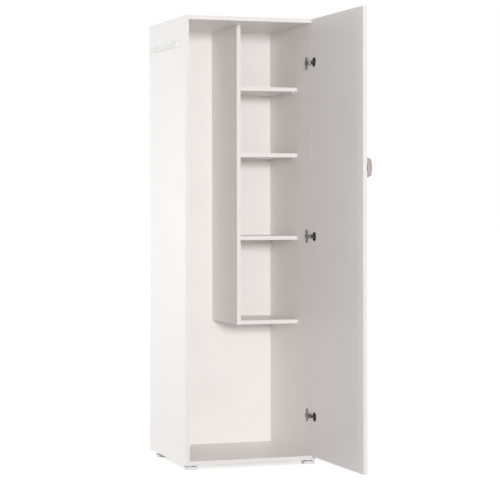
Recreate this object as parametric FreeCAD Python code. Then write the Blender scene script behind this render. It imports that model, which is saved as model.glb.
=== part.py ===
"""Broom cupboard: a tall carcass with a broom bay, a box of shelves, one hinged door and a broom rail.

Millimetres, +Z up. X runs along the width and the front faces -Y. The origin lies on the floor at the middle
of the width, on the line of the hinge pins, which is also the bottom middle of the whole at the rest angle.
The door is drawn closed and then swung to REST_ANGLE about its hinge pins.
"""
import FreeCAD, Part
import math
import os

os.makedirs("parts", exist_ok=True)
Vector = FreeCAD.Vector
ALONG_X = Vector(1, 0, 0)
ALONG_Y = Vector(0, 1, 0)
ALONG_Z = Vector(0, 0, 1)

# Carcass
CARCASS_WIDTH = 550.0
CARCASS_DEPTH = 516.0
CARCASS_HEIGHT = 1788.0     # without the feet
BOARD = 16.0                # melamine-faced chipboard
EDGE_BAND = 0.8
BACK_THICKNESS = 3.0        # white hardboard, in a groove all round
BACK_SETBACK = 14.0         # behind it, to the rear edges of the boards
GROOVE_DEPTH = 8.0
GROOVE_END_GAP = 1.0        # between the edges of the back panel and the floor of the groove

# Inside layout, all clear sizes
BROOM_BAY_WIDTH = 255.0
BOX_SETBACK = 165.0         # front of the box behind the front of the carcass
BUCKET_BAY_HEIGHT = 528.0
LOWER_SPACE = 330.0
MIDDLE_SPACE = 325.0
UPPER_SPACE = 256.0
SHELF_SIDE_GAP = 0.5
SHELF_BACK_GAP = 1.0

# Feet
FOOT_HEIGHT = 18.0
FOOT_WIDTH = 50.0
FOOT_DEPTH = 36.0
FOOT_CORNER_RADIUS = 14.0
FOOT_NECK_HEIGHT = 6.0
FOOT_NECK_HALF = 7.0
FOOT_NECK_SHIFT = 8.0       # of the neck and its screw behind the middle of the foot
FOOT_INSET = 0.5            # from the sides, and of the front feet from the front
BACK_FOOT_INSET = 76.5
FOOT_CHAMFER = 1.5
FOOT_HEAD_DEPTH = 6.0       # how deep the screw head sits in the foot

# Door
DOOR_REVEAL = 2.0           # carcass left showing beside the closed door
DOOR_TOP_GAP = 1.5
DOOR_BOTTOM_LAP = 2.0       # how far the closed door laps over the bottom panel
DOOR_GAP = 3.5              # between the closed door and the carcass
REST_ANGLE = 90.0

# Hinges
HINGE_FROM_TOP = 177.0      # of the carcass, to the upper hinge
HINGE_FROM_BOTTOM = 177.0
MIDDLE_HINGE_RAISE = 12.0   # of the middle hinge above the midpoint of the other two
CUP_RADIUS = 17.5
CUP_EDGE = 12.0             # door edge to the round boring of the cup
CUP_DEPTH = 12.0
CUP_WALL = 0.8
CUP_RIM = 1.2               # rim that lies on the door round the pressed-in cup
CUP_RIM_WIDTH = 1.8
NOSE_EDGE = 3.0             # door edge to the nose of the cup, which holds the pin
PIN_RADIUS = 1.25
KNUCKLE_RADIUS = 2.4
KNUCKLE_HALF = 3.6
NOSE_WALL = 1.4
KNUCKLE_GAP = 0.2           # between each end of the knuckle and the wall of the nose
ARM_STEEL = 2.5
TONGUE_HALF = 7.0
TONGUE_CLEARANCE = 0.8      # beside the tongue where it passes the rim of the cup
CHANNEL_HALF = 8.0
CHANNEL_HEIGHT = 7.0
CHANNEL_STEEL = 1.3
CHANNEL_START = 4.0         # behind the carcass front
CHANNEL_LENGTH = 44.0
CHANNEL_GAP = 0.3           # between the arm and the ridge of the plate
ADJUSTING_FRONT = 10.0      # the two adjusting screws behind the start of the channel
ADJUSTING_REAR = 32.0
ADJUSTING_LENGTH = 5.6
SPRING_THICKNESS = 0.5
SPRING_RISE = 0.8
PLATE_HEIGHT = 3.5
PLATE_LINE = 54.0           # plate screws behind the carcass front
PLATE_SCREW_HALF = 16.0
PLATE_WING = 2.0
PLATE_WING_HALF = 27.0
PLATE_WING_WIDTH = 18.0

# Handle
HANDLE_CENTRES = 64.0
HANDLE_LENGTH = 94.0
HANDLE_STANDOFF = 35.0
HANDLE_BELOW_TOP = 610.5    # middle of the handle below the top of the door
HANDLE_FROM_EDGE = 40.0
HANDLE_WIDTH = 12.0
HANDLE_SHOULDER = 31.0      # half the length of the grip, which rises to the standoff in its middle
HANDLE_SHOULDER_DROP = 4.0
HANDLE_SHOULDER_FILLET = 7.0
HANDLE_OPENING = 56.0       # length of the finger gap along the door
HANDLE_THICKNESS = 17.0     # in its middle
HANDLE_FILLET = 2.5
HANDLE_SCREW_BITE = 8.0

# Broom rail on the outer left side
RAIL_BELOW_TOP = 94.0
RAIL_FROM_FRONT = 90.0
RAIL_LENGTH = 376.0
RAIL_HEIGHT = 24.0
RAIL_THICKNESS = 9.0
RAIL_FILLET = 2.0
RAIL_SCREW_END = 24.0
HOOK_END = 74.0             # hook centre from the end of the rail
HOOK_PLATE_WIDTH = 16.0
HOOK_PLATE_HEIGHT = 22.0
HOOK_PLATE = 2.5
HOOK_ROD_RADIUS = 2.5
HOOK_BALL_RADIUS = 3.25
HOOK_REACH = 26.0
HOOK_LIP = 13.0
HOOK_BEND = 7.0
HOOK_SCREW_HALF = 7.5
HOOK_SCREW_COVER = 1.5      # rail left behind the tip of a hook screw

# Fasteners and fittings
FIT = 0.05                  # radial clearance of every pin, dowel and screw in its hole
CONFIRMAT_HEAD = 5.0
CONFIRMAT_SHANK = 3.5
CONFIRMAT_THREAD = 2.5
CONFIRMAT_LENGTH = 50.0
CONFIRMAT_FROM_EDGE = 60.0
DOWEL_RADIUS = 4.0
DOWEL_LENGTH = 30.0
DOWEL_END_GAP = 1.0
DOWEL_FROM_SCREW = 32.0
CAM_RADIUS = 7.5
CAM_HEIGHT = 12.0
CAM_FROM_END = 24.0
CAM_FROM_EDGE = 55.0
CAM_BOLT_RADIUS = 2.5
CAM_BOLT_HEAD = 3.2         # radius, and thickness too
CAM_BOLT_COLLAR = 2.5
CAM_BOLT_NECK = 1.6
CAM_BOLT_BITE = 10.0
CAM_SLOT = 4.0              # half the width of the slot, and how far it passes the middle
SHELF_PIN_RADIUS = 2.5
SHELF_PIN_BITE = 9.0
SHELF_PIN_REACH = 8.0
SHELF_PIN_HEIGHT = 6.0
SHELF_PIN_INSET = 37.0
NAIL_RADIUS = 0.8
NAIL_HEAD = 2.4
NAIL_HEAD_THICKNESS = 0.7
NAIL_LENGTH = 19.0
NAIL_SPACING = 150.0
NAIL_FROM_CORNER = 60.0
BUMPER_RADIUS = 4.5
BUMPER_CLEARANCE = 0.4
BUMPER_FROM_END = 40.0
SCREW_RADIUS = 1.75
SCREW_HEAD = 3.6
SCREW_TIP_RADIUS = 0.35
SCREW_SLOT = 0.9
SCREW_SLOT_DEPTH = 1.2
SHORT_SCREW = 12.0
RAIL_SCREW = 20.0
FOOT_SCREW = 24.0
HANDLE_SCREW_RADIUS = 2.0
HANDLE_SCREW_HEAD = 3.9
HANDLE_SCREW_HEAD_TOP = 2.7
HANDLE_SCREW_HEAD_HEIGHT = 2.2

# Places that follow from the sizes above. The pin sits where a quarter turn brings the inner face of the
# door in line with the right wall, and the origin is level with it from front to back.
PIN_IN_DOOR = (BOARD - DOOR_REVEAL) / 2
LEFT = -CARCASS_WIDTH / 2
RIGHT = CARCASS_WIDTH / 2
FRONT = DOOR_GAP + PIN_IN_DOOR
BACK_EDGE = FRONT + CARCASS_DEPTH     # rear edges of the sides, top and bottom
REAR = BACK_EDGE - BACK_SETBACK - BACK_THICKNESS       # inner face of the back panel
BOTTOM = FOOT_HEIGHT
TOP = FOOT_HEIGHT + CARCASS_HEIGHT
FLOOR = BOTTOM + BOARD
CEILING = TOP - BOARD
LEFT_WALL = LEFT + BOARD
RIGHT_WALL = RIGHT - BOARD
SIDE_LINE = BOARD / 2       # middle of a side panel from its outer face
PARTITION_LEFT = LEFT_WALL + BROOM_BAY_WIDTH
PARTITION_RIGHT = PARTITION_LEFT + BOARD
PARTITION_LINE = PARTITION_LEFT + BOARD / 2
BOX_FRONT = FRONT + BOX_SETBACK
BOX_BOTTOM = FLOOR + BUCKET_BAY_HEIGHT
SHELF_LOWER = BOX_BOTTOM + BOARD + LOWER_SPACE
SHELF_MIDDLE = SHELF_LOWER + BOARD + MIDDLE_SPACE
SHELF_UPPER = SHELF_MIDDLE + BOARD + UPPER_SPACE

DOOR_LEFT = LEFT + DOOR_REVEAL
DOOR_RIGHT = RIGHT - DOOR_REVEAL
DOOR_BACK = FRONT - DOOR_GAP          # inner face of the closed door
DOOR_FRONT = DOOR_BACK - BOARD
DOOR_BOTTOM = FLOOR - DOOR_BOTTOM_LAP
DOOR_TOP = TOP - DOOR_TOP_GAP

PIN_X = DOOR_RIGHT - PIN_IN_DOOR
PIN_Y = DOOR_BACK - PIN_IN_DOOR
CUP_X = DOOR_RIGHT - CUP_EDGE - CUP_RADIUS
CUP_INNER = CUP_RADIUS - FIT - CUP_WALL
NOSE_HALF = KNUCKLE_HALF + KNUCKLE_GAP        # clear half width inside the nose
NOSE_END = DOOR_RIGHT - NOSE_EDGE
CUP_FLOOR = DOOR_BACK - CUP_DEPTH + CUP_WALL + FIT
ARM_OUTER = RIGHT_WALL - PLATE_HEIGHT
UPPER_HINGE = TOP - HINGE_FROM_TOP
LOWER_HINGE = BOTTOM + HINGE_FROM_BOTTOM
MIDDLE_HINGE = (UPPER_HINGE + LOWER_HINGE) / 2 + MIDDLE_HINGE_RAISE
HINGES = {"upper": UPPER_HINGE, "middle": MIDDLE_HINGE, "lower": LOWER_HINGE}

HANDLE_X = DOOR_LEFT + HANDLE_FROM_EDGE
HANDLE_Z = DOOR_TOP - HANDLE_BELOW_TOP
RAIL_TOP = TOP - RAIL_BELOW_TOP
RAIL_Z = RAIL_TOP - RAIL_HEIGHT / 2
RAIL_START = FRONT + RAIL_FROM_FRONT
RAIL_END = RAIL_START + RAIL_LENGTH
RAIL_FACE = LEFT - RAIL_THICKNESS
HOOK_SCREW = HOOK_PLATE + RAIL_THICKNESS - HOOK_SCREW_COVER

SCREW_ROWS = (FRONT + CONFIRMAT_FROM_EDGE, REAR - CONFIRMAT_FROM_EDGE)
DOWEL_ROWS = (SCREW_ROWS[0] + DOWEL_FROM_SCREW, SCREW_ROWS[1] - DOWEL_FROM_SCREW)
BOX_ROWS = (BOX_FRONT + CAM_FROM_EDGE, REAR - CAM_FROM_EDGE)
BOX_DOWEL_ROWS = (BOX_ROWS[0] + DOWEL_FROM_SCREW, BOX_ROWS[1] - DOWEL_FROM_SCREW)
BOX_LINE = BOX_BOTTOM + BOARD / 2
PIN_ROWS = (BOX_FRONT + SHELF_PIN_INSET, REAR - SHELF_PIN_INSET)
SHELF_HEIGHTS = (SHELF_LOWER, SHELF_MIDDLE, SHELF_UPPER)
COLUMNS = (LEFT + SIDE_LINE, RIGHT - SIDE_LINE)


# Small helpers

def block(x0, x1, y0, y1, z0, z1):
    return Part.makeBox(x1 - x0, y1 - y0, z1 - z0, Vector(x0, y0, z0))


def rod(radius, length, start, direction):
    return Part.makeCylinder(radius, length, start, direction)


def cone(radius_start, radius_end, length, start, direction):
    return Part.makeCone(radius_start, radius_end, length, start, direction)


def joined(shapes):
    return shapes[0].multiFuse(list(shapes[1:])).removeSplitter()


def cut(shape, tools):
    return shape.cut(Part.makeCompound(list(tools))) if tools else shape


def save(name, shape):
    shape.exportStep("parts/" + name + ".step")


def save_group(name, shapes):
    save(name, Part.makeCompound(list(shapes)))


def opened(shape):
    """A piece of the closed door, swung to the rest angle about the hinge pins."""
    turned = shape.copy()
    turned.rotate(Vector(PIN_X, PIN_Y, 0), ALONG_Z, REST_ANGLE)
    return turned


# Fasteners: each takes the point where its head meets the surface and the way that it goes in

def cross_recess(point, direction, width):
    across = ALONG_Z if abs(direction.z) < 0.5 else ALONG_X
    other = direction.cross(across)
    slots = []
    for along in (across, other):
        side = direction.cross(along)
        corner = point - along * (width / 2) - side * (SCREW_SLOT / 2)
        edges = (corner, corner + along * width, corner + along * width + side * SCREW_SLOT,
                 corner + side * SCREW_SLOT, corner)
        slots.append(Part.Face(Part.makePolygon(edges)).extrude(direction * SCREW_SLOT_DEPTH))
    return joined(slots)


def countersunk_screw(point, direction, length):
    """Wood screw with its head flush with the surface."""
    sink = SCREW_HEAD - SCREW_RADIUS
    head = cone(SCREW_HEAD, SCREW_RADIUS, sink, point, direction)
    shank = rod(SCREW_RADIUS, length - sink - SCREW_RADIUS, point + direction * sink, direction)
    tip = cone(SCREW_RADIUS, SCREW_TIP_RADIUS, SCREW_RADIUS, point + direction * (length - SCREW_RADIUS),
               direction)
    return cut(joined([head, shank, tip]), [cross_recess(point, direction, SCREW_HEAD)])


def screw_hole(point, direction, length):
    """Countersunk hole for the screw above."""
    sink = SCREW_HEAD - SCREW_RADIUS
    head = cone(SCREW_HEAD + FIT, SCREW_RADIUS + FIT, sink, point, direction)
    return joined([head, rod(SCREW_RADIUS + FIT, length, point, direction)])


def confirmat(point, direction):
    sink = CONFIRMAT_HEAD - CONFIRMAT_SHANK
    shank = BOARD - sink
    head = cone(CONFIRMAT_HEAD, CONFIRMAT_SHANK, sink, point, direction)
    neck = rod(CONFIRMAT_SHANK, shank, point + direction * sink, direction)
    thread = rod(CONFIRMAT_THREAD, CONFIRMAT_LENGTH - sink - shank, point + direction * BOARD, direction)
    return cut(joined([head, neck, thread]), [cross_recess(point, direction, CONFIRMAT_HEAD)])


def confirmat_hole(point, direction):
    sink = CONFIRMAT_HEAD - CONFIRMAT_SHANK
    head = cone(CONFIRMAT_HEAD + FIT, CONFIRMAT_SHANK + FIT, sink, point, direction)
    neck = rod(CONFIRMAT_SHANK + FIT, BOARD, point, direction)
    thread = rod(CONFIRMAT_THREAD + FIT, CONFIRMAT_LENGTH + DOWEL_END_GAP, point, direction)
    return joined([head, neck, thread])


def dowel(middle, direction):
    return rod(DOWEL_RADIUS, DOWEL_LENGTH, middle - direction * (DOWEL_LENGTH / 2), direction)


def dowel_hole(start, direction, depth):
    return rod(DOWEL_RADIUS + FIT, depth + DOWEL_END_GAP, start, direction)


# Where the fasteners go

def confirmat_places():
    """Through the top and bottom panels into the sides, and through the top into the partition."""
    places = []
    for y in SCREW_ROWS:
        for x in COLUMNS:
            places.append((Vector(x, y, TOP), -ALONG_Z))
            places.append((Vector(x, y, BOTTOM), ALONG_Z))
    for y in BOX_ROWS:
        places.append((Vector(PARTITION_LINE, y, TOP), -ALONG_Z))
    return places


def upright_dowel_places():
    """Ends of the uprights where dowels stand half in the upright, half in the panel."""
    places = []
    for y in DOWEL_ROWS:
        for x in COLUMNS:
            places.append(Vector(x, y, CEILING))
            places.append(Vector(x, y, FLOOR))
    for y in BOX_DOWEL_ROWS:
        places.append(Vector(PARTITION_LINE, y, CEILING))
    return places


def box_joint_sides():
    """Both ends of the box bottom: the face that it butts against and the way into that upright."""
    return ((PARTITION_RIGHT, -ALONG_X), (RIGHT_WALL, ALONG_X))


def dowel_bite():
    return BOARD / 2


def upright_dowel(point):
    """Its short end is in the panel and its long end in the upright."""
    into_upright = -ALONG_Z if point.z > (TOP + BOTTOM) / 2 else ALONG_Z
    middle = point + into_upright * (DOWEL_LENGTH / 2 - dowel_bite())
    return dowel(middle, into_upright)


def upright_dowel_hole(point):
    into_upright = -ALONG_Z if point.z > (TOP + BOTTOM) / 2 else ALONG_Z
    in_panel = dowel_hole(point, -into_upright, dowel_bite())
    in_upright = dowel_hole(point, into_upright, DOWEL_LENGTH - dowel_bite())
    return joined([in_panel, in_upright])


def box_dowel(face, inward, y):
    middle = Vector(face, y, BOX_LINE) - inward * (DOWEL_LENGTH / 2 - dowel_bite())
    return dowel(middle, inward)


def box_dowel_hole(face, inward, y):
    point = Vector(face, y, BOX_LINE)
    in_board = dowel_hole(point, -inward, DOWEL_LENGTH - dowel_bite())
    in_upright = dowel_hole(point, inward, dowel_bite())
    return joined([in_board, in_upright])


def box_dowels():
    return [box_dowel(face, inward, y) for face, inward in box_joint_sides() for y in BOX_DOWEL_ROWS]


def box_dowel_holes():
    return [box_dowel_hole(face, inward, y) for face, inward in box_joint_sides() for y in BOX_DOWEL_ROWS]


def cam_places():
    return [(face, inward, y) for face, inward in box_joint_sides() for y in BOX_ROWS]


def cam_lock(face, inward, y):
    """Round lock in the underside of the box bottom, open towards the bolt."""
    centre = Vector(face, y, BOX_BOTTOM) - inward * CAM_FROM_END
    drum = rod(CAM_RADIUS, CAM_HEIGHT, centre, ALONG_Z)
    mouth = centre.x + inward.x * CAM_RADIUS
    slot_end = centre.x - inward.x * CAM_SLOT
    slot = block(min(mouth, slot_end), max(mouth, slot_end), y - CAM_SLOT, y + CAM_SLOT,
                 BOX_LINE - CAM_SLOT, BOX_BOTTOM + CAM_HEIGHT)
    return cut(drum, [slot, cross_recess(centre, ALONG_Z, CAM_RADIUS)])


def cam_bolt(face, inward, y):
    point = Vector(face, y, BOX_LINE)
    bite = rod(CAM_BOLT_RADIUS, CAM_BOLT_BITE, point, inward)
    neck = rod(CAM_BOLT_NECK, CAM_FROM_END, point - inward * CAM_FROM_END, inward)
    head = rod(CAM_BOLT_HEAD, CAM_BOLT_HEAD, point - inward * CAM_FROM_END, inward)
    collar = rod(CAM_BOLT_HEAD, CAM_BOLT_COLLAR, point - inward * CAM_BOLT_COLLAR, inward)
    return joined([bite, neck, head, collar])


def cam_holes():
    holes = []
    for face, inward, y in cam_places():
        point = Vector(face, y, BOX_LINE)
        centre = Vector(face, y, BOX_BOTTOM) - inward * CAM_FROM_END
        holes.append(rod(CAM_RADIUS + FIT, CAM_HEIGHT + FIT, centre, ALONG_Z))
        holes.append(rod(CAM_BOLT_HEAD + FIT, CAM_FROM_END, point - inward * CAM_FROM_END, inward))
        holes.append(rod(CAM_BOLT_RADIUS + FIT, CAM_BOLT_BITE + FIT, point, inward))
    return holes


def pin_places():
    """Foot of each shelf pin on its upright, just under its shelf."""
    return [(face, inward, y, z) for z in SHELF_HEIGHTS for face, inward in box_joint_sides()
            for y in PIN_ROWS]


def shelf_pin(face, inward, y, z):
    middle = Vector(face, y, z - SHELF_PIN_HEIGHT / 2)
    peg = rod(SHELF_PIN_RADIUS, SHELF_PIN_BITE, middle, inward)
    end = face - inward.x * SHELF_PIN_REACH
    rest = block(min(face, end), max(face, end), y - SHELF_PIN_HEIGHT / 2, y + SHELF_PIN_HEIGHT / 2,
                 z - SHELF_PIN_HEIGHT, z)
    return joined([peg, rest])


def pin_holes():
    below = SHELF_PIN_HEIGHT / 2
    return [rod(SHELF_PIN_RADIUS + FIT, SHELF_PIN_BITE + FIT, Vector(face, y, z - below), inward)
            for face, inward, y, z in pin_places()]


def evenly(start, end, spacing):
    count = max(2, int(round((end - start) / spacing)) + 1)
    return [start + (end - start) * index / (count - 1) for index in range(count)]


def nail_places():
    """On the rear edges of the partition and of the box bottom."""
    rear = REAR + BACK_THICKNESS
    heights = evenly(BOX_BOTTOM + NAIL_FROM_CORNER, CEILING - NAIL_FROM_CORNER, NAIL_SPACING)
    widths = evenly(PARTITION_RIGHT + NAIL_FROM_CORNER, RIGHT_WALL - NAIL_FROM_CORNER, NAIL_SPACING)
    return [Vector(PARTITION_LINE, rear, z) for z in heights] + [Vector(x, rear, BOX_LINE) for x in widths]


def nail(point):
    shank = rod(NAIL_RADIUS, NAIL_LENGTH, point, -ALONG_Y)
    head = rod(NAIL_HEAD, NAIL_HEAD_THICKNESS, point, ALONG_Y)
    return joined([shank, head])


def nail_holes():
    return [rod(NAIL_RADIUS + FIT, NAIL_LENGTH + FIT, point, -ALONG_Y) for point in nail_places()]


def foot_corners():
    """Name and middle of each foot."""
    reach = FOOT_INSET + FOOT_WIDTH / 2
    front_line = FRONT + FOOT_INSET + FOOT_DEPTH / 2
    back_line = BACK_EDGE - BACK_FOOT_INSET - FOOT_DEPTH / 2
    return {
        "front_left": Vector(LEFT + reach, front_line, 0),
        "front_right": Vector(RIGHT - reach, front_line, 0),
        "back_left": Vector(LEFT + reach, back_line, 0),
        "back_right": Vector(RIGHT - reach, back_line, 0),
    }


def foot_screw_point(corner):
    return corner + ALONG_Y * FOOT_NECK_SHIFT + ALONG_Z * FOOT_HEAD_DEPTH


def plate_screw_places():
    face = RIGHT_WALL - PLATE_WING
    return [Vector(face, FRONT + PLATE_LINE, z + side * PLATE_SCREW_HALF)
            for z in HINGES.values() for side in (-1, 1)]


def rail_screw_places():
    return [Vector(RAIL_FACE, y, RAIL_Z) for y in (RAIL_START + RAIL_SCREW_END, RAIL_END - RAIL_SCREW_END)]


def hook_places():
    return {"front": RAIL_START + HOOK_END, "rear": RAIL_END - HOOK_END}


def hook_screw_places():
    face = RAIL_FACE - HOOK_PLATE
    return [Vector(face, y, RAIL_Z + side * HOOK_SCREW_HALF)
            for y in hook_places().values() for side in (-1, 1)]


def wall_screw_holes():
    """Everything that is screwed into the outer left side or the right wall."""
    holes = [screw_hole(point, ALONG_X, SHORT_SCREW) for point in plate_screw_places()]
    return holes + [screw_hole(point, ALONG_X, RAIL_SCREW) for point in rail_screw_places()]


def upright_holes():
    """All the borings that the uprights and panels share."""
    holes = [confirmat_hole(point, direction) for point, direction in confirmat_places()]
    holes += [upright_dowel_hole(point) for point in upright_dowel_places()]
    return holes + box_dowel_holes() + cam_holes() + pin_holes() + nail_holes() + wall_screw_holes()


def bored(panel, holes):
    """The panel with those borings that meet it."""
    box = panel.BoundBox
    return cut(panel, [hole for hole in holes if box.intersect(hole.BoundBox)])


# Boards of the carcass

def back_groove():
    """The groove that the back panel slides into, as one slab."""
    return block(LEFT_WALL - GROOVE_DEPTH, RIGHT_WALL + GROOVE_DEPTH, REAR - FIT, REAR + BACK_THICKNESS + FIT,
                 FLOOR - GROOVE_DEPTH, CEILING + GROOVE_DEPTH)


def make_boards():
    holes = upright_holes()
    shell_holes = holes + [back_groove()]
    core = FRONT + EDGE_BAND
    box_core = BOX_FRONT + EDGE_BAND
    save("left_side", bored(block(LEFT, LEFT_WALL, core, BACK_EDGE, FLOOR, CEILING), shell_holes))
    save("right_side", bored(block(RIGHT_WALL, RIGHT, core, BACK_EDGE, FLOOR, CEILING), shell_holes))
    save("top_panel", bored(block(LEFT, RIGHT, core, BACK_EDGE, CEILING, TOP), shell_holes))
    foot_holes = [screw_hole(foot_screw_point(corner), ALONG_Z, FOOT_SCREW)
                  for corner in foot_corners().values()]
    save("bottom_panel", bored(block(LEFT, RIGHT, core, BACK_EDGE, BOTTOM, FLOOR), shell_holes + foot_holes))
    partition = block(PARTITION_LEFT, PARTITION_RIGHT, box_core, REAR, BOX_BOTTOM, CEILING)
    save("partition", bored(partition, holes))
    box_bottom = block(PARTITION_RIGHT, RIGHT_WALL, box_core, REAR, BOX_BOTTOM, BOX_BOTTOM + BOARD)
    save("box_bottom", bored(box_bottom, holes))
    reach = GROOVE_DEPTH - GROOVE_END_GAP
    back = block(LEFT_WALL - reach, RIGHT_WALL + reach, REAR, REAR + BACK_THICKNESS, FLOOR - reach, CEILING + reach)
    save("back_panel", bored(back, holes))


def shelf_span():
    return PARTITION_RIGHT + SHELF_SIDE_GAP, RIGHT_WALL - SHELF_SIDE_GAP


def make_shelves():
    x0, x1 = shelf_span()
    for name, z in zip(("shelf_lower", "shelf_middle", "shelf_upper"), SHELF_HEIGHTS):
        save(name, block(x0, x1, BOX_FRONT + EDGE_BAND, REAR - SHELF_BACK_GAP, z, z + BOARD))


def make_edge_bands():
    fixed = (
        block(LEFT, LEFT_WALL, FRONT, FRONT + EDGE_BAND, FLOOR, CEILING),
        block(RIGHT_WALL, RIGHT, FRONT, FRONT + EDGE_BAND, FLOOR, CEILING),
        block(LEFT, RIGHT, FRONT, FRONT + EDGE_BAND, CEILING, TOP),
        block(LEFT, RIGHT, FRONT, FRONT + EDGE_BAND, BOTTOM, FLOOR),
    )
    save_group("carcass_edge_bands", fixed)
    box = (
        block(PARTITION_LEFT, PARTITION_RIGHT, BOX_FRONT, BOX_FRONT + EDGE_BAND, BOX_BOTTOM, CEILING),
        block(PARTITION_RIGHT, RIGHT_WALL, BOX_FRONT, BOX_FRONT + EDGE_BAND, BOX_BOTTOM, BOX_BOTTOM + BOARD),
    )
    save_group("box_edge_bands", box)
    x0, x1 = shelf_span()
    save_group("shelf_edge_bands", [block(x0, x1, BOX_FRONT, BOX_FRONT + EDGE_BAND, z, z + BOARD)
                                    for z in SHELF_HEIGHTS])


def make_carcass_fittings():
    save_group("carcass_screws", [confirmat(point, direction) for point, direction in confirmat_places()])
    save_group("dowels", [upright_dowel(point) for point in upright_dowel_places()] + box_dowels())
    save_group("cam_locks", [cam_lock(*place) for place in cam_places()])
    save_group("cam_bolts", [cam_bolt(*place) for place in cam_places()])
    save_group("shelf_pins", [shelf_pin(*place) for place in pin_places()])
    save_group("back_panel_nails", [nail(point) for point in nail_places()])


# Feet

def foot(corner):
    half_width = FOOT_WIDTH / 2
    half_depth = FOOT_DEPTH / 2
    neck_start = FOOT_HEIGHT - FOOT_NECK_HEIGHT
    pad = block(-half_width, half_width, -half_depth, half_depth, 0, neck_start)
    pad = pad.makeFillet(FOOT_CORNER_RADIUS, [edge for edge in pad.Edges if edge.BoundBox.ZLength > FOOT_CHAMFER])
    pad = pad.makeChamfer(FOOT_CHAMFER, [edge for edge in pad.Edges if edge.BoundBox.ZMax < FOOT_CHAMFER])
    neck = block(-FOOT_NECK_HALF, FOOT_NECK_HALF, FOOT_NECK_SHIFT - FOOT_NECK_HALF,
                 FOOT_NECK_SHIFT + FOOT_NECK_HALF, neck_start, FOOT_HEIGHT)
    body = joined([pad, neck])
    body.translate(corner)
    way_in = rod(SCREW_HEAD + FIT, FOOT_HEAD_DEPTH, corner + ALONG_Y * FOOT_NECK_SHIFT, ALONG_Z)
    return cut(body, [way_in, screw_hole(foot_screw_point(corner), ALONG_Z, FOOT_SCREW)])


def make_feet():
    for name, corner in foot_corners().items():
        save("foot_" + name, foot(corner))
    screws = [countersunk_screw(foot_screw_point(corner), ALONG_Z, FOOT_SCREW)
              for corner in foot_corners().values()]
    save_group("foot_screws", screws)


# Door, drawn closed

def cup_pocket(z, gap):
    """The round cup with its nose towards the edge of the door, smaller all round by a gap."""
    centre = Vector(CUP_X, DOOR_BACK, z)
    half = NOSE_HALF + NOSE_WALL + FIT - gap
    nose = block(CUP_X, NOSE_END + FIT - gap, DOOR_BACK - CUP_DEPTH + gap, DOOR_BACK, z - half, z + half)
    return joined([rod(CUP_RADIUS - gap, CUP_DEPTH - gap, centre, -ALONG_Y), nose])


def handle_screw_places():
    return [Vector(HANDLE_X, DOOR_BACK, HANDLE_Z + side * HANDLE_CENTRES / 2) for side in (-1, 1)]


def make_door():
    panel = block(DOOR_LEFT + EDGE_BAND, DOOR_RIGHT - EDGE_BAND, DOOR_FRONT, DOOR_BACK,
                  DOOR_BOTTOM + EDGE_BAND, DOOR_TOP - EDGE_BAND)
    holes = [cup_pocket(z, 0) for z in HINGES.values()]
    holes += [rod(HANDLE_SCREW_RADIUS + FIT, BOARD, point, -ALONG_Y) for point in handle_screw_places()]
    save("door", opened(cut(panel, holes)))
    x0 = DOOR_LEFT + EDGE_BAND
    x1 = DOOR_RIGHT - EDGE_BAND
    bands = (
        block(DOOR_LEFT, x0, DOOR_FRONT, DOOR_BACK, DOOR_BOTTOM, DOOR_TOP),
        block(x1, DOOR_RIGHT, DOOR_FRONT, DOOR_BACK, DOOR_BOTTOM, DOOR_TOP),
        block(x0, x1, DOOR_FRONT, DOOR_BACK, DOOR_TOP - EDGE_BAND, DOOR_TOP),
        block(x0, x1, DOOR_FRONT, DOOR_BACK, DOOR_BOTTOM, DOOR_BOTTOM + EDGE_BAND),
    )
    save_group("door_edge_bands", [opened(band) for band in bands])
    bumper_x = LEFT + SIDE_LINE
    thickness = DOOR_GAP - BUMPER_CLEARANCE
    bumpers = [rod(BUMPER_RADIUS, thickness, Vector(bumper_x, DOOR_BACK, z), ALONG_Y)
               for z in (DOOR_BOTTOM + BUMPER_FROM_END, DOOR_TOP - BUMPER_FROM_END)]
    save_group("door_bumpers", [opened(bumper) for bumper in bumpers])


# Handle: one cast bow

def handle_point(along, height):
    """A point in the side plane of the handle, by its place along the door and its height over it."""
    return Vector(HANDLE_X - HANDLE_WIDTH / 2, DOOR_FRONT - height, HANDLE_Z + along)


def handle_outline():
    """A bow with sloping legs round a finger gap, standing on the door with two soles."""
    foot_half = HANDLE_LENGTH / 2
    gap_half = HANDLE_OPENING / 2
    shoulder_height = HANDLE_STANDOFF - HANDLE_SHOULDER_DROP
    feet = [handle_point(side * foot_half, 0) for side in (-1, 1)]
    shoulders = [handle_point(side * HANDLE_SHOULDER, shoulder_height) for side in (-1, 1)]
    gap = [handle_point(side * gap_half, 0) for side in (-1, 1)]
    return Part.Wire([
        Part.LineSegment(gap[0], feet[0]).toShape(),
        Part.LineSegment(feet[0], shoulders[0]).toShape(),
        Part.Arc(shoulders[0], handle_point(0, HANDLE_STANDOFF), shoulders[1]).toShape(),
        Part.LineSegment(shoulders[1], feet[1]).toShape(),
        Part.LineSegment(feet[1], gap[1]).toShape(),
        Part.Arc(gap[1], handle_point(0, HANDLE_STANDOFF - HANDLE_THICKNESS), gap[0]).toShape(),
    ])


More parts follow.
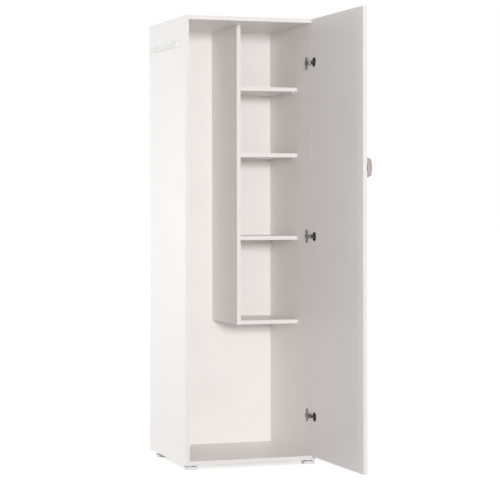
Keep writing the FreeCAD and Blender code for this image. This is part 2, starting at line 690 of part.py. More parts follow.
def make_handle():
    bow = Part.Face(handle_outline()).extrude(ALONG_X * HANDLE_WIDTH)
    across = [edge for edge in bow.Edges if edge.BoundBox.XLength > HANDLE_FILLET
              and edge.BoundBox.YMax < DOOR_FRONT - HANDLE_FILLET]
    bow = bow.makeFillet(HANDLE_SHOULDER_FILLET, across)
    rims = [edge for edge in bow.Edges if edge.BoundBox.XLength < FIT and edge.BoundBox.YLength > FIT]
    bow = bow.makeFillet(HANDLE_FILLET, rims)
    holes = [rod(HANDLE_SCREW_RADIUS + FIT, HANDLE_SCREW_BITE + HANDLE_SCREW_RADIUS,
                 Vector(point.x, DOOR_FRONT, point.z), -ALONG_Y) for point in handle_screw_places()]
    save("handle", opened(cut(bow, holes)))
    save_group("handle_screws", [opened(handle_screw(point)) for point in handle_screw_places()])


def handle_screw(point):
    """Pan-head machine screw on the inner face of the door, through it into the foot of the handle."""
    head_top = point + ALONG_Y * HANDLE_SCREW_HEAD_HEIGHT
    head = cone(HANDLE_SCREW_HEAD_TOP, HANDLE_SCREW_HEAD, HANDLE_SCREW_HEAD_HEIGHT, head_top, -ALONG_Y)
    shank = rod(HANDLE_SCREW_RADIUS, BOARD + HANDLE_SCREW_BITE, point, -ALONG_Y)
    return cut(joined([head, shank]), [cross_recess(head_top, -ALONG_Y, HANDLE_SCREW_HEAD)])


# Hinges: plate and arm stay on the carcass, cup and pin turn with the door

def rounded_strip(x0, x1, y, half_width, half_length, z):
    """A flat strip that stands upright with round ends, from x0 to x1."""
    middle = block(x0, x1, y - half_width, y + half_width, z - half_length + half_width,
                   z + half_length - half_width)
    ends = [rod(half_width, x1 - x0, Vector(x0, y, z + side * (half_length - half_width)), ALONG_X)
            for side in (-1, 1)]
    return joined([middle] + ends)


def hinge_plate(z):
    line = FRONT + PLATE_LINE
    back = FRONT + CHANNEL_START + CHANNEL_LENGTH
    wings = rounded_strip(RIGHT_WALL - PLATE_WING, RIGHT_WALL, line, PLATE_WING_WIDTH / 2, PLATE_WING_HALF, z)
    base = block(ARM_OUTER, RIGHT_WALL, FRONT + CHANNEL_START + CHANNEL_STEEL, back, z - CHANNEL_HALF,
                 z + CHANNEL_HALF)
    ridge_half = CHANNEL_HALF - CHANNEL_STEEL - CHANNEL_GAP
    ridge_face = ARM_OUTER - CHANNEL_HEIGHT + CHANNEL_STEEL + CHANNEL_GAP
    ridge = block(ridge_face, RIGHT_WALL, FRONT + CHANNEL_START + CHANNEL_STEEL * 2, back - CHANNEL_STEEL,
                  z - ridge_half, z + ridge_half)
    screws = [Vector(RIGHT_WALL - PLATE_WING, line, z + side * PLATE_SCREW_HALF) for side in (-1, 1)]
    holes = [screw_hole(point, ALONG_X, SHORT_SCREW) for point in screws]
    holes += [rod(SCREW_RADIUS + FIT, CHANNEL_HEIGHT, Vector(ARM_OUTER - CHANNEL_HEIGHT, y, z), ALONG_X)
              for y in adjusting_rows()]
    return cut(joined([wings, base, ridge]), holes)


def adjusting_rows():
    """The two adjusting screws, towards the ends of the channel."""
    start = FRONT + CHANNEL_START
    return (start + ADJUSTING_FRONT, start + ADJUSTING_REAR)


def adjusting_screw(y, z):
    face = ARM_OUTER - CHANNEL_HEIGHT
    head_top = Vector(face - CHANNEL_STEEL, y, z)
    head = rod(SCREW_HEAD, CHANNEL_STEEL, head_top, ALONG_X)
    shank = rod(SCREW_RADIUS, ADJUSTING_LENGTH, Vector(face, y, z), ALONG_X)
    return cut(joined([head, shank]), [cross_recess(head_top, ALONG_X, SCREW_HEAD)])


def hinge_arm(z):
    """A channel over the plate, with a cranked tongue that ends in the knuckle on the pin."""
    start = FRONT + CHANNEL_START
    web = ARM_OUTER - CHANNEL_HEIGHT
    outside = block(web, ARM_OUTER, start, start + CHANNEL_LENGTH, z - CHANNEL_HALF, z + CHANNEL_HALF)
    inside = block(web + CHANNEL_STEEL, ARM_OUTER, start + CHANNEL_STEEL, start + CHANNEL_LENGTH,
                   z - CHANNEL_HALF + CHANNEL_STEEL, z + CHANNEL_HALF - CHANNEL_STEEL)
    channel = outside.cut(inside)
    crank_y = PIN_Y - ARM_STEEL / 2
    tongue = block(ARM_OUTER - ARM_STEEL, ARM_OUTER, crank_y, start, z - TONGUE_HALF, z + TONGUE_HALF)
    crank = block(ARM_OUTER, PIN_X, crank_y, crank_y + ARM_STEEL, z - KNUCKLE_HALF, z + KNUCKLE_HALF)
    low_end = Vector(PIN_X, PIN_Y, z - KNUCKLE_HALF)
    knuckle = rod(KNUCKLE_RADIUS, 2 * KNUCKLE_HALF, low_end, ALONG_Z)
    pin_hole = rod(PIN_RADIUS + FIT, 2 * KNUCKLE_HALF, low_end, ALONG_Z)
    holes = [rod(SCREW_RADIUS + FIT, CHANNEL_HEIGHT, Vector(web - FIT, y, z), ALONG_X)
             for y in adjusting_rows()]
    return cut(joined([channel, tongue, crank, knuckle]), [pin_hole] + holes)


def hinge_cup(z):
    """Pressed-in cup with a rim on the door and a nose that holds the pin, open where the arm comes out."""
    centre = Vector(CUP_X, DOOR_BACK, z)
    face = DOOR_BACK + CUP_RIM
    rim = rod(CUP_RADIUS + CUP_RIM_WIDTH, CUP_RIM, centre, ALONG_Y)
    shell = joined([cup_pocket(z, FIT), rim])
    hollow = rod(CUP_INNER, face - CUP_FLOOR, centre + ALONG_Y * CUP_RIM, -ALONG_Y)
    slot = block(CUP_X, NOSE_END - CUP_WALL, CUP_FLOOR, face, z - NOSE_HALF, z + NOSE_HALF)
    way_out = block(PIN_X, DOOR_RIGHT, PIN_Y + KNUCKLE_RADIUS, face, z - NOSE_HALF, z + NOSE_HALF)
    beside = TONGUE_HALF + TONGUE_CLEARANCE
    rim_gap = block(CUP_X, DOOR_RIGHT, DOOR_BACK, face, z - beside, z + beside)
    half = NOSE_HALF + NOSE_WALL
    pin_hole = rod(PIN_RADIUS + FIT, 2 * half, Vector(PIN_X, PIN_Y, z - half), ALONG_Z)
    return cut(shell, [joined([hollow, slot, way_out, rim_gap]), pin_hole])


def hinge_pin(z):
    half = NOSE_HALF + NOSE_WALL
    return rod(PIN_RADIUS, 2 * half, Vector(PIN_X, PIN_Y, z - half), ALONG_Z)


def hinge_spring(z):
    """Bowed leaf on the floor of the cup, under the tongue."""
    start = Vector(CUP_X - CUP_RADIUS / 2, CUP_FLOOR, z - KNUCKLE_HALF)
    along = ALONG_X * CUP_RADIUS
    up = ALONG_Y * SPRING_THICKNESS
    crown = start + along / 2 + ALONG_Y * SPRING_RISE
    end = start + along
    outline = Part.Wire([
        Part.Arc(start, crown, end).toShape(),
        Part.LineSegment(end, end + up).toShape(),
        Part.Arc(end + up, crown + up, start + up).toShape(),
        Part.LineSegment(start + up, start).toShape(),
    ])
    return Part.Face(outline).extrude(ALONG_Z * (2 * KNUCKLE_HALF))


def make_hinges():
    for name, z in HINGES.items():
        save(name + "_hinge_plate", hinge_plate(z))
        save(name + "_hinge_arm", hinge_arm(z))
        save(name + "_hinge_cup", opened(hinge_cup(z)))
        save(name + "_hinge_pin", opened(hinge_pin(z)))
    save_group("hinge_springs", [opened(hinge_spring(z)) for z in HINGES.values()])
    save_group("hinge_adjusting_screws", [adjusting_screw(y, z)
                                          for z in HINGES.values() for y in adjusting_rows()])
    save_group("hinge_plate_screws", [countersunk_screw(point, ALONG_X, SHORT_SCREW)
                                      for point in plate_screw_places()])


# Broom rail with two hooks

def hook(y):
    """A plate on the rail with a round rod that reaches out and turns up."""
    face = RAIL_FACE
    half = HOOK_PLATE_WIDTH / 2
    plate = block(face - HOOK_PLATE, face, y - half, y + half, RAIL_Z - HOOK_PLATE_HEIGHT / 2,
                  RAIL_Z + HOOK_PLATE_HEIGHT / 2)
    start = Vector(face - HOOK_PLATE / 2, y, RAIL_Z)
    bend_in = Vector(face - HOOK_REACH + HOOK_BEND, y, RAIL_Z)
    bend_out = Vector(face - HOOK_REACH, y, RAIL_Z + HOOK_BEND)
    tip = Vector(face - HOOK_REACH, y, RAIL_Z + HOOK_LIP)
    slant = HOOK_BEND * (1 - math.sqrt(0.5))
    knee = Vector(face - HOOK_REACH + slant, y, RAIL_Z + slant)
    path = Part.Wire([Part.LineSegment(start, bend_in).toShape(), Part.Arc(bend_in, knee, bend_out).toShape(),
                      Part.LineSegment(bend_out, tip).toShape()])
    section = Part.Wire(Part.Circle(start, -ALONG_X, HOOK_ROD_RADIUS).toShape())
    bar = path.makePipeShell([section], True, False)
    ball = Part.makeSphere(HOOK_BALL_RADIUS, tip)
    holes = [screw_hole(Vector(face - HOOK_PLATE, y, RAIL_Z + side * HOOK_SCREW_HALF), ALONG_X, HOOK_SCREW)
             for side in (-1, 1)]
    return cut(joined([plate, bar, ball]), holes)


def make_broom_rail():
    rail = block(RAIL_FACE, LEFT, RAIL_START, RAIL_END, RAIL_TOP - RAIL_HEIGHT, RAIL_TOP)
    outer = [edge for edge in rail.Edges if edge.BoundBox.XMax < RAIL_FACE + FIT]
    rail = rail.makeFillet(RAIL_FILLET, outer)
    holes = [screw_hole(point, ALONG_X, RAIL_SCREW) for point in rail_screw_places()]
    holes += [screw_hole(point, ALONG_X, HOOK_SCREW) for point in hook_screw_places()]
    save("broom_rail", cut(rail, holes))
    for name, y in hook_places().items():
        save("broom_hook_" + name, hook(y))
    save_group("rail_screws", [countersunk_screw(point, ALONG_X, RAIL_SCREW)
                               for point in rail_screw_places()])
    save_group("hook_screws", [countersunk_screw(point, ALONG_X, HOOK_SCREW)
                               for point in hook_screw_places()])


make_boards()
make_shelves()
make_edge_bands()
make_carcass_fittings()
make_feet()
make_door()
make_handle()
make_hinges()
make_broom_rail()
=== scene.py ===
"""Broom cupboard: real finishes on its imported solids, and a studio stage around them."""
import math

import bpy
from mathutils import Matrix, Vector

bl_info = {
    "name": "Broom cupboard",
    "version": (1, 0, 0),
    "blender": (4, 5, 0),
    "location": "3D View > Sidebar > Cupboard",
    "description": "Dresses a white broom cupboard in melamine, nickel and zinc, and lights it",
    "category": "Object",
}

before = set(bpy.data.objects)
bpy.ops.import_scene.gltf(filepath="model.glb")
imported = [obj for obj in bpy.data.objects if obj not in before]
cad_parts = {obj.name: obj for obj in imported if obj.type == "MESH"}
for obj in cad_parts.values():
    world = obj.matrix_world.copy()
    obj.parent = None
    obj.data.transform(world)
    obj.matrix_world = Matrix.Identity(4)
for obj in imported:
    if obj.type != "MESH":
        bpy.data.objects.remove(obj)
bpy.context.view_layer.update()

HINGES = ("upper", "middle", "lower")
CORNERS = ("front_left", "front_right", "back_left", "back_right")
BOARDS = ("left_side", "right_side", "top_panel", "bottom_panel", "partition", "box_bottom",
          "shelf_lower", "shelf_middle", "shelf_upper")
CARCASS_BANDS = ("carcass_edge_bands", "box_edge_bands", "shelf_edge_bands")
SCREWS = ("carcass_screws", "foot_screws")
WHITE_SCREWS = ("rail_screws", "hook_screws", "handle_screws")

NOISE_RANGE = (0.3, 0.7)        # lowest and highest value that a noise usually reaches
BANDS_PER_UNIT = 20             # how fast a wave texture of scale 1 swings
SCREEN_WEAVE = 2.5              # mm, of the screen that hardboard is pressed on
BAND_SEGMENTS = 2               # of the rounding of the edge bands
SENSOR_WIDTH = 36               # mm
FAR_CLIP = 1000                 # m
FLOOR_SHADE = 0.8               # how much light the floor paint sends back
FLOOR_GLOW = 0.62               # added where the floor is seen, so that it is white out of the shadow


# Helpers

def linear(hex_colour):
    """An sRGB hex colour such as "#F0EEEA" as linear red, green, blue."""
    channels = [int(hex_colour[i:i + 2], 16) / 255 for i in (1, 3, 5)]
    return tuple(c / 12.92 if c <= 0.04045 else ((c + 0.055) / 1.055) ** 2.4 for c in channels)


def scale_for(millimetres):
    """Texture scale that gives a pattern of this size, because a node's coordinates are metres."""
    return 1000 / millimetres


def add_node(tree, kind, inputs=None, **settings):
    """A node with its settings. An input is a value, or the output socket that feeds it."""
    made = tree.nodes.new(kind)
    for name, value in settings.items():
        setattr(made, name, value)
    for name, value in (inputs or {}).items():
        if isinstance(value, bpy.types.NodeSocket):
            tree.links.new(value, made.inputs[name])
        else:
            made.inputs[name].default_value = value
    return made


def start_material(name, **sockets):
    """An empty material with a Principled shader, whose even values go on the shader's own sockets."""
    material = bpy.data.materials.new(name)
    material.use_nodes = True
    tree = material.node_tree
    tree.nodes.clear()
    shader = add_node(tree, "ShaderNodeBsdfPrincipled",
                      {socket.replace("_", " "): value for socket, value in sockets.items()})
    add_node(tree, "ShaderNodeOutputMaterial", {"Surface": shader.outputs["BSDF"]})
    return material, tree, shader


def place_in_piece(tree, stretch=(1, 1, 1)):
    """The point of the surface in the row frame, stretched along an axis for grain or brushing."""
    coordinates = add_node(tree, "ShaderNodeTexCoord")
    return add_node(tree, "ShaderNodeMapping",
                    {"Vector": coordinates.outputs["Object"], "Scale": stretch}).outputs[0]


def noise(tree, place, millimetres, detail=2.0, roughness=0.5):
    return add_node(tree, "ShaderNodeTexNoise",
                    {"Vector": place, "Scale": scale_for(millimetres), "Detail": detail,
                     "Roughness": roughness}).outputs["Fac"]


def between(tree, factor, low, high):
    """A number that runs from low to high as a noise goes from its usual lowest to its highest."""
    return add_node(tree, "ShaderNodeMapRange",
                    {"Value": factor, "From Min": NOISE_RANGE[0], "From Max": NOISE_RANGE[1],
                     "To Min": low, "To Max": high}).outputs[0]


def blended(tree, factor, colour_a, colour_b):
    mix = add_node(tree, "ShaderNodeMix", {0: factor}, data_type="RGBA")
    for socket, colour in ((6, colour_a), (7, colour_b)):
        if isinstance(colour, bpy.types.NodeSocket):
            tree.links.new(colour, mix.inputs[socket])
        else:
            mix.inputs[socket].default_value = (*colour, 1)
    return mix.outputs[2]


def bumped(tree, shader, height, millimetres):
    """Relief of this many millimetres on the shader's normal."""
    bump = add_node(tree, "ShaderNodeBump", {"Height": height, "Distance": millimetres / 1000})
    tree.links.new(bump.outputs["Normal"], shader.inputs["Normal"])


def shaded(colour, factor):
    return tuple(channel * factor for channel in colour)


def dress(names, material):
    """Give a CAD node its finish."""
    for name in names:
        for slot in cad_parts[name].material_slots:
            slot.material = material


# Finishes

def melamine_faced_board(finish):
    """Paper soaked in melamine resin, pressed on chipboard under a plate with a fine pearl: satin, and
    a shade uneven over a hand's breadth. The real pearl of 0.6 mm is drawn at 2.5 mm, so that it shows."""
    material, tree, shader = start_material("white_melamine_pearl", IOR=1.5)
    place = place_in_piece(tree)
    tone = between(tree, noise(tree, place, 260, 1.0), 0, 1)
    colour = blended(tree, tone, finish.melamine, shaded(finish.melamine, 0.985))
    tree.links.new(colour, shader.inputs["Base Color"])
    pearl = noise(tree, place, finish.pearl * 1000, 1.0)
    tree.links.new(between(tree, noise(tree, place, 40), 0.38, 0.46), shader.inputs["Roughness"])
    bumped(tree, shader, pearl, 0.03)
    return material


def abs_edge_band(finish):
    """Extruded ABS strip, ironed on with hot glue: smoother than the faces, with faint lines along it."""
    material, tree, shader = start_material("white_abs_band", IOR=1.53)
    place = place_in_piece(tree, (1, 1, 0.04))
    colour = blended(tree, between(tree, noise(tree, place, 3), 0, 1), finish.band, shaded(finish.band, 0.97))
    tree.links.new(colour, shader.inputs["Base Color"])
    tree.links.new(between(tree, noise(tree, place, 1.5), 0.30, 0.40), shader.inputs["Roughness"])
    bumped(tree, shader, noise(tree, place, 1.5), 0.02)
    return material


def lacquered_hardboard(finish):
    """Wet-felted fibreboard, lacquered white on the smooth side that faces in. The side that faces the
    wall stays raw and brown, with flecks of fibre and the weave of the screen that it was pressed on."""
    material, tree, shader = start_material("lacquered_hardboard", IOR=1.5)
    place = place_in_piece(tree)
    fibre = noise(tree, place, 6, 6.0, 0.7)
    raw = blended(tree, between(tree, fibre, 0, 1), finish.raw_fibre, shaded(finish.raw_fibre, 0.72))
    white = blended(tree, between(tree, noise(tree, place, 180, 1.0), 0, 1), finish.lacquer,
                    shaded(finish.lacquer, 0.985))
    coordinates = add_node(tree, "ShaderNodeTexCoord")
    facing = add_node(tree, "ShaderNodeSeparateXYZ", {"Vector": coordinates.outputs["Normal"]}).outputs["Y"]
    behind = add_node(tree, "ShaderNodeMath", {0: facing, 1: 0.5}, operation="GREATER_THAN").outputs[0]
    tree.links.new(blended(tree, behind, white, raw), shader.inputs["Base Color"])
    rough = add_node(tree, "ShaderNodeMapRange", {"Value": behind, "To Min": 0.42, "To Max": 0.85}).outputs[0]
    tree.links.new(rough, shader.inputs["Roughness"])
    scale = scale_for(SCREEN_WEAVE) / BANDS_PER_UNIT
    weave = [add_node(tree, "ShaderNodeTexWave", {"Vector": place, "Scale": scale},
                      bands_direction=axis).outputs["Fac"] for axis in ("X", "Z")]
    screen = add_node(tree, "ShaderNodeMath", {0: weave[0], 1: weave[1]}, operation="MULTIPLY").outputs[0]
    relief = add_node(tree, "ShaderNodeMath", {0: screen, 1: behind}, operation="MULTIPLY").outputs[0]
    bumped(tree, shader, relief, 0.15)
    return material


def nickel_plated_steel(finish):
    """Pressed steel strip under nickel, drawn dark grey and softened by the grain of the strip."""
    material, tree, shader = start_material("nickel_plated_steel", Metallic=1.0)
    place = place_in_piece(tree)
    cloud = noise(tree, place, 9)
    colour = blended(tree, between(tree, cloud, 0, 1), finish.nickel, shaded(finish.nickel, 0.86))
    tree.links.new(colour, shader.inputs["Base Color"])
    tree.links.new(between(tree, noise(tree, place, 3), 0.2, 0.34), shader.inputs["Roughness"])
    bumped(tree, shader, noise(tree, place, 2), 0.02)
    return material


def satin_nickel(finish):
    """Die-cast zinc, ground along its bow and plated with satin nickel: a soft, stretched shine."""
    material, tree, shader = start_material("satin_nickel", Metallic=1.0, Anisotropic=0.3)
    place = place_in_piece(tree, (1, 1, 0.05))
    lines = noise(tree, place, 0.9, 3.0)
    colour = blended(tree, between(tree, lines, 0, 1), finish.handle, shaded(finish.handle, 0.92))
    tree.links.new(colour, shader.inputs["Base Color"])
    tree.links.new(between(tree, lines, 0.36, 0.5), shader.inputs["Roughness"])
    bumped(tree, shader, lines, 0.02)
    return material


def bright_zinc(finish):
    """Zinc-plated screw steel: cold grey with a cloudy blue passivation."""
    material, tree, shader = start_material("zinc_plated_steel", Metallic=1.0)
    place = place_in_piece(tree)
    blue = (finish.zinc[0] * 0.86, finish.zinc[1] * 0.93, finish.zinc[2])
    colour = blended(tree, between(tree, noise(tree, place, 4), 0, 1), finish.zinc, blue)
    tree.links.new(colour, shader.inputs["Base Color"])
    tree.links.new(between(tree, noise(tree, place, 1.5), 0.26, 0.42), shader.inputs["Roughness"])
    bumped(tree, shader, noise(tree, place, 0.8), 0.01)
    return material


def white_lacquered_steel(finish):
    """Screw with white stoving lacquer over its head: thin, glossy and a little uneven at the recess."""
    material, tree, shader = start_material("white_lacquered_steel", IOR=1.52)
    place = place_in_piece(tree)
    colour = blended(tree, between(tree, noise(tree, place, 2), 0, 1), finish.powder,
                     shaded(finish.powder, 0.94))
    tree.links.new(colour, shader.inputs["Base Color"])
    tree.links.new(between(tree, noise(tree, place, 1.5), 0.28, 0.42), shader.inputs["Roughness"])
    bumped(tree, shader, noise(tree, place, 1.0), 0.01)
    return material


def moulded_polyamide(finish):
    """White polyamide of the shelf pins: matt, faintly yellow and slightly see-through where it is thin."""
    material, tree, shader = start_material("moulded_polyamide", IOR=1.53, Subsurface_Weight=0.2,
                                            Subsurface_Scale=0.002)
    place = place_in_piece(tree)
    colour = blended(tree, between(tree, noise(tree, place, 5), 0, 1), finish.pin, shaded(finish.pin, 0.96))
    tree.links.new(colour, shader.inputs["Base Color"])
    tree.links.new(between(tree, noise(tree, place, 2), 0.38, 0.5), shader.inputs["Roughness"])
    bumped(tree, shader, noise(tree, place, 1.2), 0.02)
    return material


def die_cast_zinc(finish):
    """Bare die-cast zinc of the cams: dull, with a slightly pebbled skin."""
    material, tree, shader = start_material("die_cast_zinc", Metallic=1.0)
    place = place_in_piece(tree)
    skin = noise(tree, place, 1.2, 3.0)
    colour = blended(tree, between(tree, skin, 0, 1), finish.zinc, shaded(finish.zinc, 0.7))
    tree.links.new(colour, shader.inputs["Base Color"])
    tree.links.new(between(tree, skin, 0.42, 0.6), shader.inputs["Roughness"])
    bumped(tree, shader, skin, 0.05)
    return material


def turned_beech(finish):
    """Beech rod: pale, straight grained, with short dark rays."""
    material, tree, shader = start_material("turned_beech", Roughness=0.6, IOR=1.5)
    place = place_in_piece(tree, (1, 1, 0.12))
    grain = noise(tree, place, 1.4, 4.0, 0.65)
    colour = blended(tree, between(tree, grain, 0, 1), finish.beech, shaded(finish.beech, 0.62))
    tree.links.new(colour, shader.inputs["Base Color"])
    bumped(tree, shader, grain, 0.08)
    return material


def moulded_polypropylene(finish):
    """White polypropylene from a spark-eroded mould: matt, faintly waxy, greyed by scuffs."""
    material, tree, shader = start_material("moulded_polypropylene", IOR=1.49)
    place = place_in_piece(tree)
    scuffs = between(tree, noise(tree, place, 7, 5.0, 0.7), 0, 1)
    colour = blended(tree, scuffs, finish.foot, shaded(finish.foot, 0.93))
    tree.links.new(colour, shader.inputs["Base Color"])
    tree.links.new(between(tree, noise(tree, place, 5), 0.44, 0.6), shader.inputs["Roughness"])
    bumped(tree, shader, noise(tree, place, 0.8), 0.04)
    return material


def powder_coat(finish):
    """Baked polyester powder on metal: even white with a soft orange-peel skin of about 2 mm."""
    material, tree, shader = start_material("white_powder_coat", IOR=1.52)
    place = place_in_piece(tree)
    colour = blended(tree, between(tree, noise(tree, place, 60), 0, 1), finish.powder,
                     shaded(finish.powder, 0.97))
    tree.links.new(colour, shader.inputs["Base Color"])
    tree.links.new(between(tree, noise(tree, place, 12), 0.3, 0.4), shader.inputs["Roughness"])
    bumped(tree, shader, noise(tree, place, 2), 0.05)
    return material


def milky_polyurethane(finish):
    """Cast polyurethane dot: soft and milky, so that it takes on the white of the door behind it."""
    material, tree, shader = start_material("milky_polyurethane", IOR=1.5, Transmission_Weight=0.3)
    place = place_in_piece(tree)
    cloud = noise(tree, place, 2)
    colour = blended(tree, between(tree, cloud, 0, 1), finish.bumper, shaded(finish.bumper, 0.93))
    tree.links.new(colour, shader.inputs["Base Color"])
    tree.links.new(between(tree, cloud, 0.25, 0.4), shader.inputs["Roughness"])
    return material


# Sizes and colours that a user would change

def colour_property(name, description, hex_colour):
    return bpy.props.FloatVectorProperty(name=name, description=description, subtype="COLOR", size=3,
                                         min=0, max=1, default=linear(hex_colour))


class CupboardFinish(bpy.types.PropertyGroup):
    melamine: colour_property("Melamine", "Faces of the boards and the door", "#F6F2F0")
    band: colour_property("Edge band", "ABS band on the front edges", "#F2EEEC")
    lacquer: colour_property("Lacquer", "Inner side of the back panel", "#FBF8F6")
    raw_fibre: colour_property("Raw hardboard", "Rear side of the back panel", "#A98762")
    nickel: colour_property("Nickel", "Hinges and their screws", "#7E7B78")
    handle: colour_property("Handle", "Satin nickel of the handle", "#9F9592")
    zinc: colour_property("Zinc", "Screws, cams and nails", "#C3C4C8")
    beech: colour_property("Beech", "Dowels", "#DDB987")
    pin: colour_property("Shelf pins", "Polyamide of the shelf pins", "#F0F0EE")
    foot: colour_property("Feet", "Polypropylene of the feet", "#F0F0EF")
    powder: colour_property("Powder coat", "Broom rail, hooks and white screw heads", "#F1F1F0")
    bumper: colour_property("Bumper", "Milky dots on the door", "#F6F6F4")
    pearl: bpy.props.FloatProperty(
        name="Pearl", description="Size of the pearl in the melamine", subtype="DISTANCE", unit="LENGTH",
        default=0.0025, min=0.0002, max=0.02, precision=4)
    band_radius: bpy.props.FloatProperty(
        name="Band radius", description="Rounding of the edge bands", subtype="DISTANCE", unit="LENGTH",
        default=0.0004, min=0.0, max=0.0008, precision=4)


def power_property(name, description, watts):
    return bpy.props.FloatProperty(name=name, description=description, unit="POWER", default=watts, min=0)


class CupboardStage(bpy.types.PropertyGroup):
    lens: bpy.props.FloatProperty(name="Lens", description="Focal length on a 36 mm sensor", unit="CAMERA",
                                  default=132.17, min=10)
    shift: bpy.props.FloatProperty(
        name="Shift", description="How far the frame slides up, as a share of its width; below 0 is down",
        default=-0.0816, min=-0.5, max=0.5, precision=4)
    camera_place: bpy.props.FloatVectorProperty(
        name="Camera", description="Where the camera stands", subtype="TRANSLATION", unit="LENGTH", size=3,
        default=(-2.3929, -6.9522, 1.0558))
    yaw: bpy.props.FloatProperty(name="Yaw", description="How far the camera turns to its right",
                                 subtype="ANGLE", default=math.radians(18.934))
    pitch: bpy.props.FloatProperty(name="Pitch", description="How far the camera looks down",
                                   subtype="ANGLE", default=math.radians(0.16))
    roll: bpy.props.FloatProperty(name="Roll", description="Lean of the camera",
                                  subtype="ANGLE", default=math.radians(-0.094))
    front: power_property("Front light", "Soft box far in front, a little above the cupboard", 538)
    rear_left: power_property(
        "Rear left light", "Soft box far behind on the left, for the outer left side", 670)
    ambient: bpy.props.FloatProperty(name="Ambient", description="Strength of the even light all round",
                                     default=0.44, min=0)
    floor_size: bpy.props.FloatProperty(name="Floor", description="Side of the floor", subtype="DISTANCE",
                                        unit="LENGTH", default=400, min=10)


# One operator for each kind of piece

class CUPBOARD_OT_boards(bpy.types.Operator):
    """Melamine on the boards of the carcass and the box of shelves"""
    bl_idname = "cupboard.boards"
    bl_label = "Boards"

    def execute(self, context):
        dress((*BOARDS, "door"), melamine_faced_board(context.scene.cupboard_finish))
        return {"FINISHED"}


class CUPBOARD_OT_edge_bands(bpy.types.Operator):
    """ABS bands on the edges of the boards and the door, with slightly rounded edges"""
    bl_idname = "cupboard.edge_bands"
    bl_label = "Edge bands"

    def execute(self, context):
        finish = context.scene.cupboard_finish
        names = (*CARCASS_BANDS, "door_edge_bands")
        dress(names, abs_edge_band(finish))
        for name in names:
            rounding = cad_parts[name].modifiers.new("rounded", "BEVEL")
            rounding.width = finish.band_radius
            rounding.segments = BAND_SEGMENTS
        return {"FINISHED"}


class CUPBOARD_OT_back_panel(bpy.types.Operator):
    """Hardboard back, white inside and raw outside"""
    bl_idname = "cupboard.back_panel"
    bl_label = "Back panel"

    def execute(self, context):
        dress(("back_panel",), lacquered_hardboard(context.scene.cupboard_finish))
        return {"FINISHED"}


class CUPBOARD_OT_hinges(bpy.types.Operator):
    """Nickel, drawn dark grey, on the three concealed hinges, their springs and screws"""
    bl_idname = "cupboard.hinges"
    bl_label = "Hinges"

    def execute(self, context):
        names = [f"{hinge}_hinge_{piece}" for hinge in HINGES for piece in ("plate", "arm", "cup", "pin")]
        dress((*names, "hinge_springs", "hinge_plate_screws", "hinge_adjusting_screws"),
              nickel_plated_steel(context.scene.cupboard_finish))
        return {"FINISHED"}


class CUPBOARD_OT_handle(bpy.types.Operator):
    """Satin nickel on the bow of the handle"""
    bl_idname = "cupboard.handle"
    bl_label = "Handle"

    def execute(self, context):
        dress(("handle",), satin_nickel(context.scene.cupboard_finish))
        return {"FINISHED"}


class CUPBOARD_OT_fasteners(bpy.types.Operator):
    """Zinc or white lacquer on the screws, zinc on nails and cams, beech dowels and plastic shelf pins"""
    bl_idname = "cupboard.fasteners"
    bl_label = "Fasteners"

    def execute(self, context):
        finish = context.scene.cupboard_finish
        dress((*SCREWS, "back_panel_nails"), bright_zinc(finish))
        dress(WHITE_SCREWS, white_lacquered_steel(finish))
        dress(("cam_locks", "cam_bolts"), die_cast_zinc(finish))
        dress(("dowels",), turned_beech(finish))
        dress(("shelf_pins",), moulded_polyamide(finish))
        return {"FINISHED"}


class CUPBOARD_OT_feet(bpy.types.Operator):
    """Polypropylene on the feet, and milky polyurethane on the bumpers of the door"""
    bl_idname = "cupboard.feet"
    bl_label = "Feet and bumpers"

    def execute(self, context):
        finish = context.scene.cupboard_finish
        dress([f"foot_{corner}" for corner in CORNERS], moulded_polypropylene(finish))
        dress(("door_bumpers",), milky_polyurethane(finish))
        return {"FINISHED"}


class CUPBOARD_OT_broom_rail(bpy.types.Operator):
    """Powder coat on the broom rail and its hooks"""
    bl_idname = "cupboard.broom_rail"
    bl_label = "Broom rail"

    def execute(self, context):
        dress(("broom_rail", "broom_hook_front", "broom_hook_rear"),
              powder_coat(context.scene.cupboard_finish))
        return {"FINISHED"}


# Stage

# Each soft box: its place, the point that it faces and its width and height, in metres.
SOFT_BOXES = {
    "front": ((-2.0, -10.5, 2.15), (0.0, 0.4, 0.95), (2.4, 1.25)),
    "rear_left": ((-7.6, 8.8, 0.6), (-0.3, 0.6, 0.8), (3.5, 3.0)),
}


def seen_directly(tree):
    """1 for the camera's rays and for those that glossy or clear surfaces send on, else 0."""
    path = add_node(tree, "ShaderNodeLightPath")
    total = path.outputs["Is Camera Ray"]
    for name in ("Is Glossy Ray", "Is Transmission Ray"):
        total = add_node(tree, "ShaderNodeMath", {0: total, 1: path.outputs[name]},
                         operation="MAXIMUM").outputs[0]
    return total


def make_world(context, ambient):
    """White where it is seen, and an even light of its own strength elsewhere."""
    world = bpy.data.worlds.new("studio")
    context.scene.world = world
    world.use_nodes = True
    tree = world.node_tree
    tree.nodes.clear()
    lit = add_node(tree, "ShaderNodeBackground", {"Color": (1, 1, 1, 1), "Strength": ambient})
    white = add_node(tree, "ShaderNodeBackground", {"Color": (1, 1, 1, 1), "Strength": 1.0})
    mix = add_node(tree, "ShaderNodeMixShader",
                   {0: seen_directly(tree), 1: lit.outputs[0], 2: white.outputs[0]})
    add_node(tree, "ShaderNodeOutputWorld", {"Surface": mix.outputs[0]})


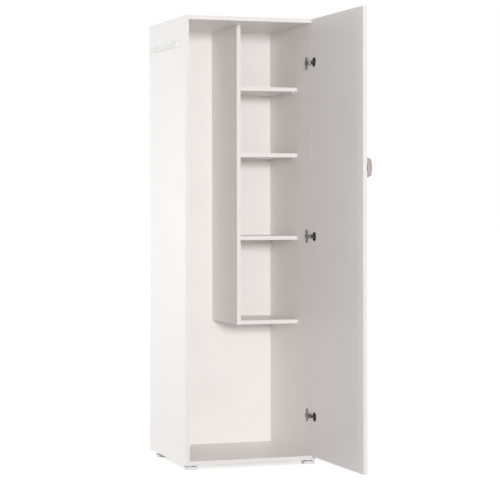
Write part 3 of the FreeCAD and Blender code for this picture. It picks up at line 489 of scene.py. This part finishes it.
def make_floor(size):
    """A plain floor that keeps the shadow of the cupboard."""
    half = size / 2
    mesh = bpy.data.meshes.new("floor")
    corners = [(-half, -half, 0), (half, -half, 0), (half, half, 0), (-half, half, 0)]
    mesh.from_pydata(corners, [], [(0, 1, 2, 3)])
    floor = bpy.data.objects.new("floor", mesh)
    bpy.context.scene.collection.objects.link(floor)
    material, tree, shader = start_material("floor_paint", Roughness=0.9)
    shader.inputs["Base Color"].default_value = (FLOOR_SHADE, FLOOR_SHADE, FLOOR_SHADE, 1)
    shader.inputs["Emission Color"].default_value = (1, 1, 1, 1)
    glow = add_node(tree, "ShaderNodeMath", {0: seen_directly(tree), 1: FLOOR_GLOW},
                    operation="MULTIPLY").outputs[0]
    tree.links.new(glow, shader.inputs["Emission Strength"])
    mesh.materials.append(material)


def make_soft_box(name, watts):
    place, aim, size = SOFT_BOXES[name]
    lamp = bpy.data.lights.new(name, "AREA")
    lamp.shape = "RECTANGLE"
    lamp.size, lamp.size_y = size
    lamp.energy = watts
    box = bpy.data.objects.new(name, lamp)
    box.location = place
    box.rotation_euler = (Vector(aim) - Vector(place)).to_track_quat("-Z", "Y").to_euler()
    box.visible_camera = False
    bpy.context.scene.collection.objects.link(box)


def make_camera(context, stage):
    """Stands level in front on the left, a little above half height, with its frame slid down."""
    camera = bpy.data.cameras.new("camera")
    camera.sensor_width = SENSOR_WIDTH
    camera.lens = stage.lens
    camera.shift_y = stage.shift
    camera.clip_end = FAR_CLIP
    ahead = Vector((math.sin(stage.yaw) * math.cos(stage.pitch), math.cos(stage.yaw) * math.cos(stage.pitch),
                    -math.sin(stage.pitch)))
    right = Vector((math.cos(stage.yaw), -math.sin(stage.yaw), 0))
    up = right.cross(ahead)
    leaned_right = right * math.cos(stage.roll) + up * math.sin(stage.roll)
    leaned_up = up * math.cos(stage.roll) - right * math.sin(stage.roll)
    turn = Matrix((leaned_right, leaned_up, -ahead)).transposed()
    holder = bpy.data.objects.new("camera", camera)
    holder.matrix_world = Matrix.Translation(stage.camera_place) @ turn.to_4x4()
    context.scene.collection.objects.link(holder)
    context.scene.camera = holder


class CUPBOARD_OT_stage(bpy.types.Operator):
    """White floor and surroundings, soft boxes and the camera"""
    bl_idname = "cupboard.stage"
    bl_label = "Stage"

    def execute(self, context):
        stage = context.scene.cupboard_stage
        context.scene.view_settings.view_transform = "Standard"
        make_world(context, stage.ambient)
        make_floor(stage.floor_size)
        for name in SOFT_BOXES:
            make_soft_box(name, getattr(stage, name))
        make_camera(context, stage)
        return {"FINISHED"}


OPERATORS = (CUPBOARD_OT_boards, CUPBOARD_OT_edge_bands, CUPBOARD_OT_back_panel, CUPBOARD_OT_hinges,
             CUPBOARD_OT_handle, CUPBOARD_OT_fasteners, CUPBOARD_OT_feet, CUPBOARD_OT_broom_rail,
             CUPBOARD_OT_stage)


class CUPBOARD_PT_panel(bpy.types.Panel):
    bl_label = "Broom cupboard"
    bl_idname = "CUPBOARD_PT_panel"
    bl_space_type = "VIEW_3D"
    bl_region_type = "UI"
    bl_category = "Cupboard"

    def draw(self, context):
        for operator in OPERATORS:
            self.layout.operator(operator.bl_idname)
        for group in (context.scene.cupboard_finish, context.scene.cupboard_stage):
            box = self.layout.box()
            for name in group.__annotations__:
                box.prop(group, name)


CLASSES = (CupboardFinish, CupboardStage, *OPERATORS, CUPBOARD_PT_panel)


def register():
    for cls in CLASSES:
        bpy.utils.register_class(cls)
    bpy.types.Scene.cupboard_finish = bpy.props.PointerProperty(type=CupboardFinish)
    bpy.types.Scene.cupboard_stage = bpy.props.PointerProperty(type=CupboardStage)


def unregister():
    del bpy.types.Scene.cupboard_finish
    del bpy.types.Scene.cupboard_stage
    for cls in reversed(CLASSES):
        bpy.utils.unregister_class(cls)


def main():
    register()
    bpy.ops.cupboard.boards()
    bpy.ops.cupboard.edge_bands()
    bpy.ops.cupboard.back_panel()
    bpy.ops.cupboard.hinges()
    bpy.ops.cupboard.handle()
    bpy.ops.cupboard.fasteners()
    bpy.ops.cupboard.feet()
    bpy.ops.cupboard.broom_rail()
    bpy.ops.cupboard.stage()


if __name__ == "__main__":
    main()
